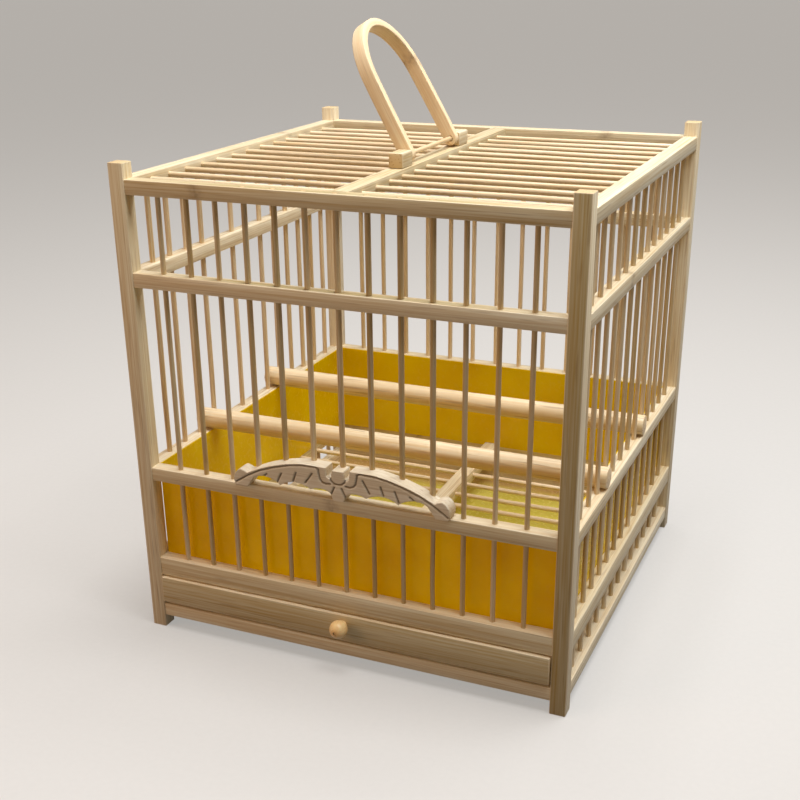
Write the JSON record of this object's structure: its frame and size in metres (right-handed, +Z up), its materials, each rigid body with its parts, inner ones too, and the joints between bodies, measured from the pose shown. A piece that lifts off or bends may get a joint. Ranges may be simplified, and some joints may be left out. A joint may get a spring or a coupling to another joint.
{
  "type": "bird cage",
  "caption": "Square bamboo bird cage with a carved lift-up front door, a pull-out tray under a floor grille, yellow splash panels, perches and a swinging bow handle.",
  "frame": {"origin": "middle of the footprint, at the level of the four feet", "axes": "+Z up, +X to the right seen from the door side, -Y towards the door and the drawer's knob"},
  "size_m": [0.23, 0.2423, 0.3026],
  "materials": {
    "bamboo_strip": "satin",
    "bamboo_bar": "satin",
    "perch_stick": "satin",
    "carved_bamboo": "satin",
    "yellow_plastic": "gloss"
  },
  "bodies": {
    "cage": {"back_bars": "bamboo_bar", "drawer_runner_left": "bamboo_strip", "drawer_runner_right": "bamboo_strip", "floor_bars": "bamboo_bar", "floor_cross_bar": "bamboo_strip", "front_bars_below_door": "bamboo_bar", "front_bars_left": "bamboo_bar", "front_bars_right": "bamboo_bar", "handle_block_front": "bamboo_strip", "handle_block_rear": "bamboo_strip", "handle_pin": "bamboo_bar", "left_bars": "bamboo_bar", "panel_back": "yellow_plastic", "panel_front": "yellow_plastic", "panel_left": "yellow_plastic", "panel_right": "yellow_plastic", "post_back_left": "bamboo_strip", "post_back_right": "bamboo_strip", "post_front_left": "bamboo_strip", "post_front_right": "bamboo_strip", "rail_back_bottom": "bamboo_strip", "rail_back_lower": "bamboo_strip", "rail_back_middle": "bamboo_strip", "rail_back_top": "bamboo_strip", "rail_back_upper": "bamboo_strip", "rail_front_bottom": "bamboo_strip", "rail_front_lower": "bamboo_strip", "rail_front_middle": "bamboo_strip", "rail_front_top": "bamboo_strip", "rail_front_upper": "bamboo_strip", "rail_left_bottom": "bamboo_strip", "rail_left_lower": "bamboo_strip", "rail_left_middle": "bamboo_strip", "rail_left_top": "bamboo_strip", "rail_left_upper": "bamboo_strip", "rail_right_bottom": "bamboo_strip", "rail_right_lower": "bamboo_strip", "rail_right_middle": "bamboo_strip", "rail_right_top": "bamboo_strip", "rail_right_upper": "bamboo_strip", "right_bars": "bamboo_bar", "roof_bars": "bamboo_bar", "roof_cross_bar": "bamboo_strip"},
    "handle": {"handle_bow": "bamboo_strip"},
    "door": {"door_carving": "carved_bamboo", "door_bars": "bamboo_bar"},
    "drawer": {"drawer_front": "bamboo_strip", "drawer_knob": "carved_bamboo", "drawer_side_left": "bamboo_strip", "drawer_side_right": "bamboo_strip", "drawer_back": "bamboo_strip", "drawer_base": "yellow_plastic"},
    "perch_front": {"perch_front": "perch_stick"},
    "perch_rear": {"perch_rear": "perch_stick"}
  },
  "joints": [
    {"name": "handle_swing", "type": "hinge", "parent": "cage", "child": "handle", "pos_m": [0, 0, 0.242], "axis": [0, 1, 0], "range_deg": [-60, 120]},
    {"name": "door_lift", "type": "slide", "parent": "cage", "child": "door", "axis": [0, 0, 1], "range_m": [0, 0.075]},
    {"name": "drawer_slide", "type": "slide", "parent": "cage", "child": "drawer", "axis": [0, -1, 0], "range_m": [0, 0.19]},
    {"name": "perch_front_slide", "type": "slide", "parent": "cage", "child": "perch_front", "axis": [1, 0, 0], "range_m": [-0.2, 0.2]},
    {"name": "perch_rear_slide", "type": "slide", "parent": "cage", "child": "perch_rear", "axis": [1, 0, 0], "range_m": [-0.2, 0.2]}
  ]
}
